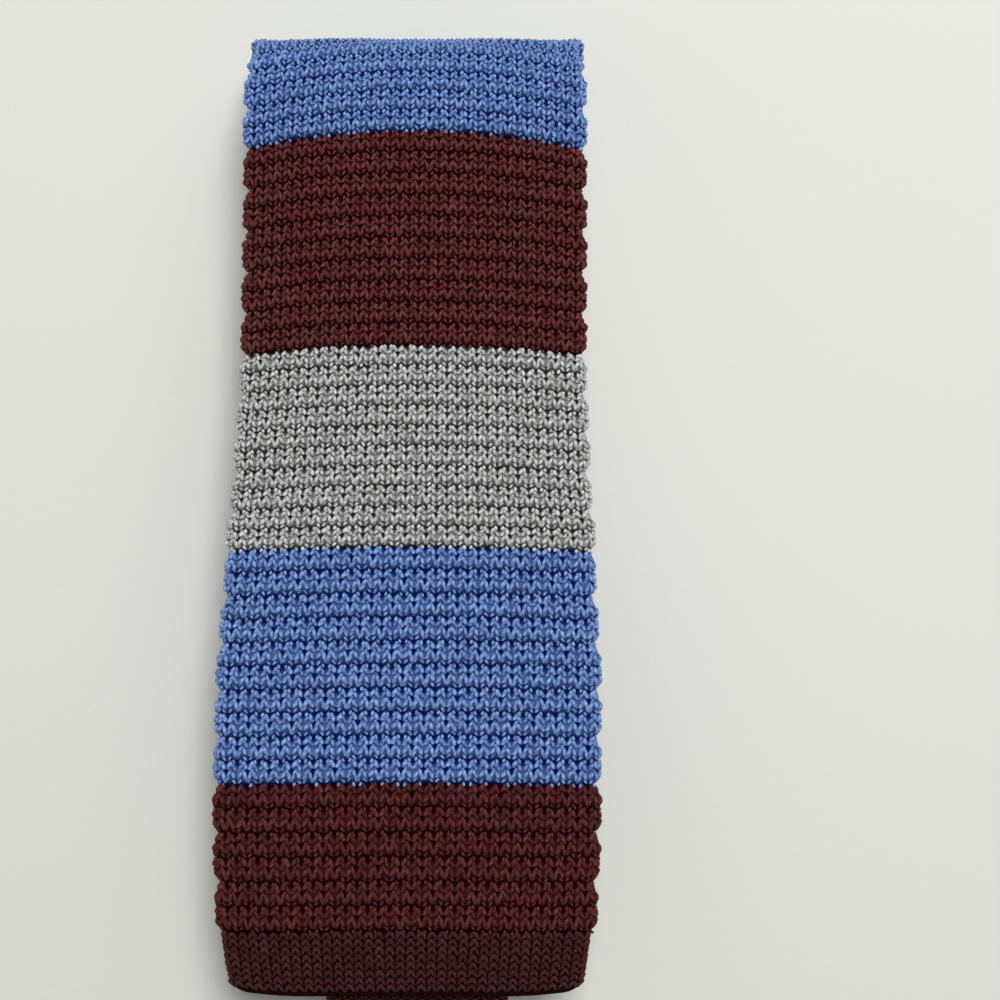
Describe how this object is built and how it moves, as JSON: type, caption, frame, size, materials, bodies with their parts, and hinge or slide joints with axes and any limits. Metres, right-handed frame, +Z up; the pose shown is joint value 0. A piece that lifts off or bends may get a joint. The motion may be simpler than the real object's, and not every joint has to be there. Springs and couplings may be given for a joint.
{
  "type": "knit necktie",
  "caption": "Folded square-ended knit necktie: a flat knitted tube in burgundy, blue and grey stripes, wide front blade on top and narrow tail beneath it.",
  "frame": {"origin": "bottom centre of the folded tie's bounding box, on the face it rests on", "axes": "+Z up out of the front blade's face, +Y from the hems to the outer fold, +X across the blade to the right seen from above with the fold at the top"},
  "size_m": [0.062, 0.159, 0.0257],
  "materials": {
    "burgundy_yarn": "matte",
    "blue_yarn": "matte",
    "grey_yarn": "matte"
  },
  "bodies": {
    "root": {"front_hem": "burgundy_yarn", "stripe_01_burgundy": "burgundy_yarn", "stripe_02_blue": "blue_yarn", "stripe_03_grey": "grey_yarn", "stripe_04_burgundy": "burgundy_yarn", "stripe_05_blue": "blue_yarn", "stripe_06_grey": "grey_yarn", "stripe_07_burgundy": "burgundy_yarn", "stripe_08_blue": "blue_yarn", "stripe_09_grey": "grey_yarn", "stripe_10_burgundy": "burgundy_yarn", "stripe_11_blue": "blue_yarn", "stripe_12_grey": "grey_yarn", "stripe_13_burgundy": "burgundy_yarn", "stripe_14_blue": "blue_yarn", "stripe_15_grey": "grey_yarn", "stripe_16_burgundy": "burgundy_yarn", "stripe_17_blue": "blue_yarn", "stripe_18_grey": "grey_yarn", "stripe_19_burgundy": "burgundy_yarn", "stripe_20_blue": "blue_yarn", "stripe_21_grey": "grey_yarn", "stripe_22_burgundy": "burgundy_yarn", "stripe_23_blue": "blue_yarn", "stripe_24_grey": "grey_yarn", "stripe_25_burgundy": "burgundy_yarn", "stripe_26_blue": "blue_yarn", "stripe_27_grey": "grey_yarn", "stripe_28_burgundy": "burgundy_yarn", "stripe_29_blue": "blue_yarn", "stripe_30_grey": "grey_yarn", "stripe_31_burgundy": "burgundy_yarn", "stripe_32_blue": "blue_yarn", "stripe_33_grey": "grey_yarn", "stripe_34_burgundy": "burgundy_yarn", "stripe_35_blue": "blue_yarn", "stripe_36_grey": "grey_yarn", "stripe_37_burgundy": "burgundy_yarn", "stripe_38_blue": "blue_yarn", "stripe_39_grey": "grey_yarn", "stripe_40_burgundy": "burgundy_yarn", "stripe_41_blue": "blue_yarn", "stripe_42_grey": "grey_yarn", "stripe_43_burgundy": "burgundy_yarn", "tail_hem": "burgundy_yarn"}
  },
  "joints": []
}
